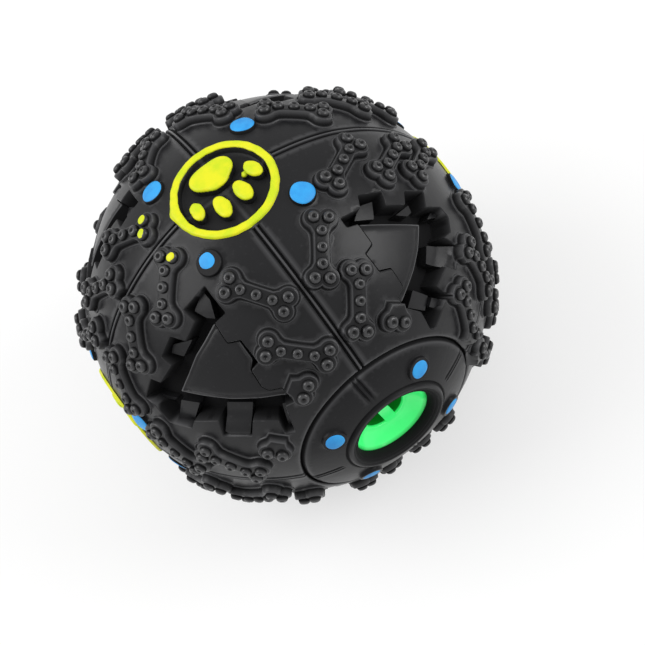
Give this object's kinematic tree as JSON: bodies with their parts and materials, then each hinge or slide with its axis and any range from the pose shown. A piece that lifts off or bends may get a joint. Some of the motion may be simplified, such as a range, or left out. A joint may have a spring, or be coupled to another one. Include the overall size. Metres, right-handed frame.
{
  "type": "treat dispensing ball",
  "caption": "Hollow soft ball with bone and paw relief, a round mouth with a slotted dish that lets dry treats out, and a sliding weight sounder inside.",
  "frame": {"origin": "centre of the ball, midway between the faces of opposite paw prints", "axes": "-Y out of the mouth, +Z out of the top paw print, +X out of the right paw print"},
  "size_m": [0.11, 0.11, 0.11],
  "materials": {
    "shell_vinyl": "satin soft vinyl",
    "collar_vinyl": "satin soft vinyl",
    "green_plastic": "glossy moulded plastic",
    "blue_paint": "hand-sprayed paint",
    "yellow_paint": "hand-sprayed paint",
    "tube_plastic": "moulded plastic",
    "bumper_foam": "closed-cell foam",
    "carrier_plastic": "moulded plastic",
    "seal_rubber": "soft rubber",
    "weight_steel": "turned steel",
    "reed_brass": "rolled strip"
  },
  "bodies": {
    "ball": {"ball_shell": "shell_vinyl", "mouth_collar": "collar_vinyl", "dispensing_dish": "green_plastic", "blue_dots": "blue_paint", "collar_dots": "blue_paint", "top_paw_print": "yellow_paint", "bottom_paw_print": "yellow_paint", "left_paw_print": "yellow_paint", "right_paw_print": "yellow_paint", "rear_paw_print": "yellow_paint", "sound_tube": "tube_plastic", "tube_rear_cap": "tube_plastic", "tube_front_cap": "tube_plastic", "rear_bumper": "bumper_foam", "front_bumper": "bumper_foam"},
    "weight": {"weight_carrier": "carrier_plastic", "carrier_seal": "seal_rubber", "steel_weight": "weight_steel", "reed_holder": "tube_plastic", "sound_reed": "reed_brass", "carrier_cap": "carrier_plastic"}
  },
  "joints": [
    {"name": "weight_slide", "type": "slide", "parent": "ball", "child": "weight", "axis": [0, -1, 0], "range_m": [0, 0.0274]}
  ]
}
